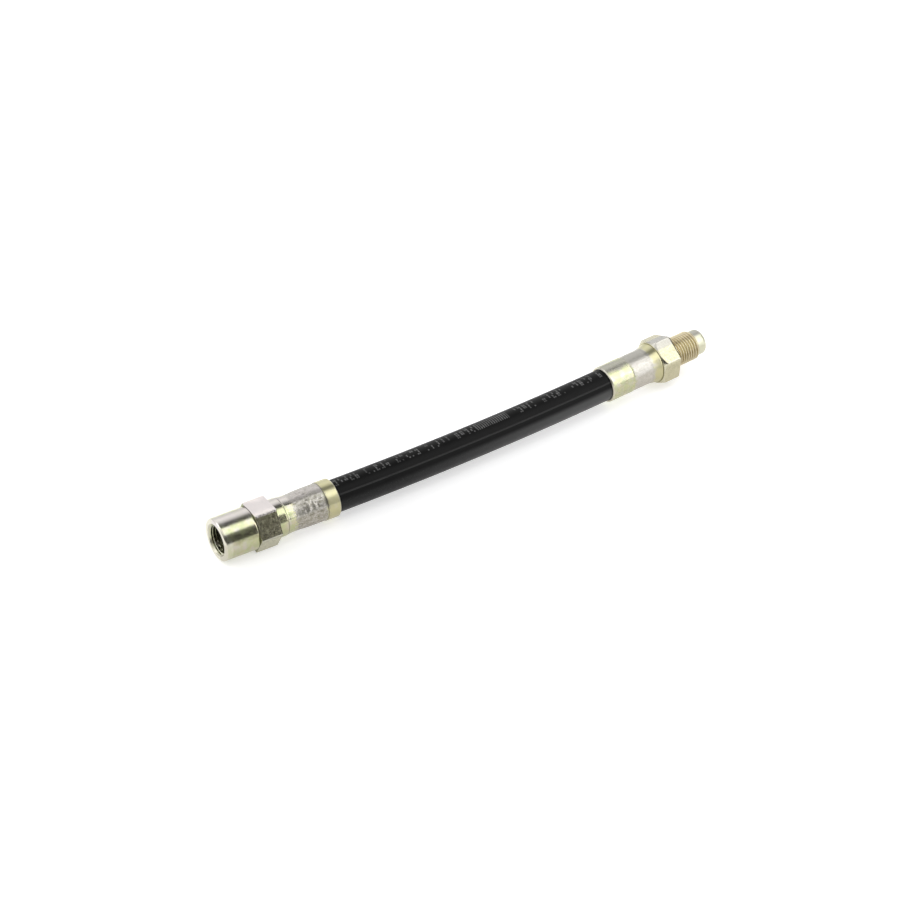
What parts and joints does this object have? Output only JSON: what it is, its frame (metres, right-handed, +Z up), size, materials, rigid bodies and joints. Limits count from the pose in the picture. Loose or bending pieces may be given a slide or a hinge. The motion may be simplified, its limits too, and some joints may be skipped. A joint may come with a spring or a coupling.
{
  "type": "hydraulic brake hose assembly",
  "caption": "Short straight rubber brake hose with a crimped female threaded end fitting and a crimped male threaded end fitting; the hose flexes between them.",
  "frame": {"origin": "centre of the female port's mouth face, on the female fitting's axis; the assembly rests on the plane 7 mm below it", "axes": "+X along the female fitting's axis towards the hose and the male end, +Y to the side that the hose bows towards, +Z up, away from the surface that the hose lies on"},
  "size_m": [0.185, 0.0218, 0.0162],
  "materials": {
    "plated_steel": "yellow passivated zinc plating on turned steel, satin, with grey crimped bands",
    "nipple_steel": "plain zinc plated steel tube",
    "liner_rubber": "smooth black rubber",
    "braid_yarn": "tight off-white textile braid",
    "cover_rubber": "extruded black rubber, satin, with a faint grey dashed line"
  },
  "bodies": {
    "female_end": {"female_fitting": "plated_steel", "female_nipple": "nipple_steel", "inner_tube": "liner_rubber", "inner_braid": "braid_yarn", "cushion_layer": "liner_rubber", "outer_braid": "braid_yarn", "cover": "cover_rubber"},
    "male_end": {"male_fitting": "plated_steel", "male_nipple": "nipple_steel"}
  },
  "joints": [
    {"name": "hose_flex", "type": "hinge", "parent": "female_end", "child": "male_end", "pos_m": [0.09234, 0.00104, 0.00019], "axis": [0, 0, 1], "range_deg": [-80, 80], "stiffness_Nm_per_rad": 0.25, "deforming": ["inner_tube", "inner_braid", "cushion_layer", "outer_braid", "cover"]}
  ]
}
